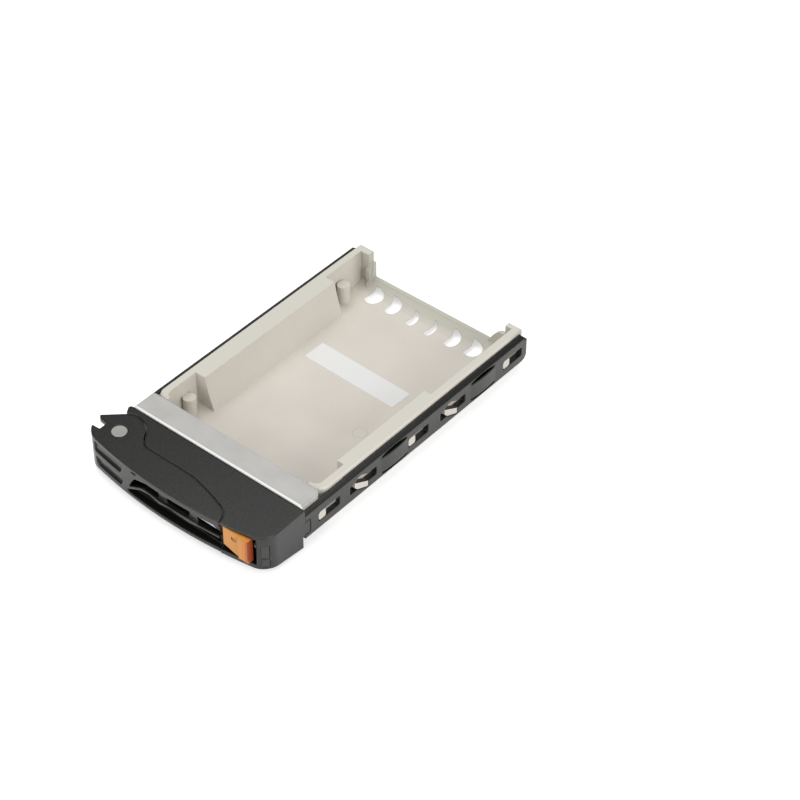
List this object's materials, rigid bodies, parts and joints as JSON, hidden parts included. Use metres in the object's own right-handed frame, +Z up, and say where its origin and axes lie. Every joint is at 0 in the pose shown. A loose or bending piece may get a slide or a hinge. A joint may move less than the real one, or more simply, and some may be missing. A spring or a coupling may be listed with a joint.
{
  "type": "hot swap drive caddy",
  "caption": "Hot swap caddy for a 2.5 inch drive bay: open tray insert between side rails, sheet shield, curved front with swinging lever and sliding release latch.",
  "frame": {"origin": "middle of the insert's width on its underside, 65 mm in front of the rear end", "axes": "+X to the latch side, +Y to the rear (the way it is pushed in), +Z up out of the open tray"},
  "size_m": [0.0781, 0.1302, 0.0152],
  "materials": {
    "black_plastic": "fine grain",
    "zinc_sheet": "satin",
    "beige_plastic": "fine grain",
    "label_paper": "matte",
    "smoked_plastic": "frosted",
    "spring_wire": "drawn",
    "pin_steel": "satin",
    "orange_plastic": "satin"
  },
  "bodies": {
    "frame": {"bezel_housing": "black_plastic", "emi_shield": "zinc_sheet", "left_rail": "black_plastic", "right_rail": "black_plastic", "drive_insert": "beige_plastic", "insert_label": "label_paper", "light_pipe_lower": "smoked_plastic", "light_pipe_upper": "smoked_plastic", "lever_spring": "spring_wire", "latch_spring": "spring_wire"},
    "lever": {"lever_handle": "black_plastic", "lever_pin": "pin_steel", "lever_pin_clip": "pin_steel"},
    "latch": {"release_latch": "orange_plastic"}
  },
  "joints": [
    {"name": "lever_swing", "type": "hinge", "parent": "frame", "child": "lever", "pos_m": [-0.0306, -0.0549, 0.0085], "axis": [0, 0, -1], "range_deg": [0, 35]},
    {"name": "latch_slide", "type": "slide", "parent": "frame", "child": "latch", "axis": [1, 0, 0], "range_m": [0, 0.0013], "stiffness_N_per_m": 800, "deforming": ["latch_spring"]}
  ]
}
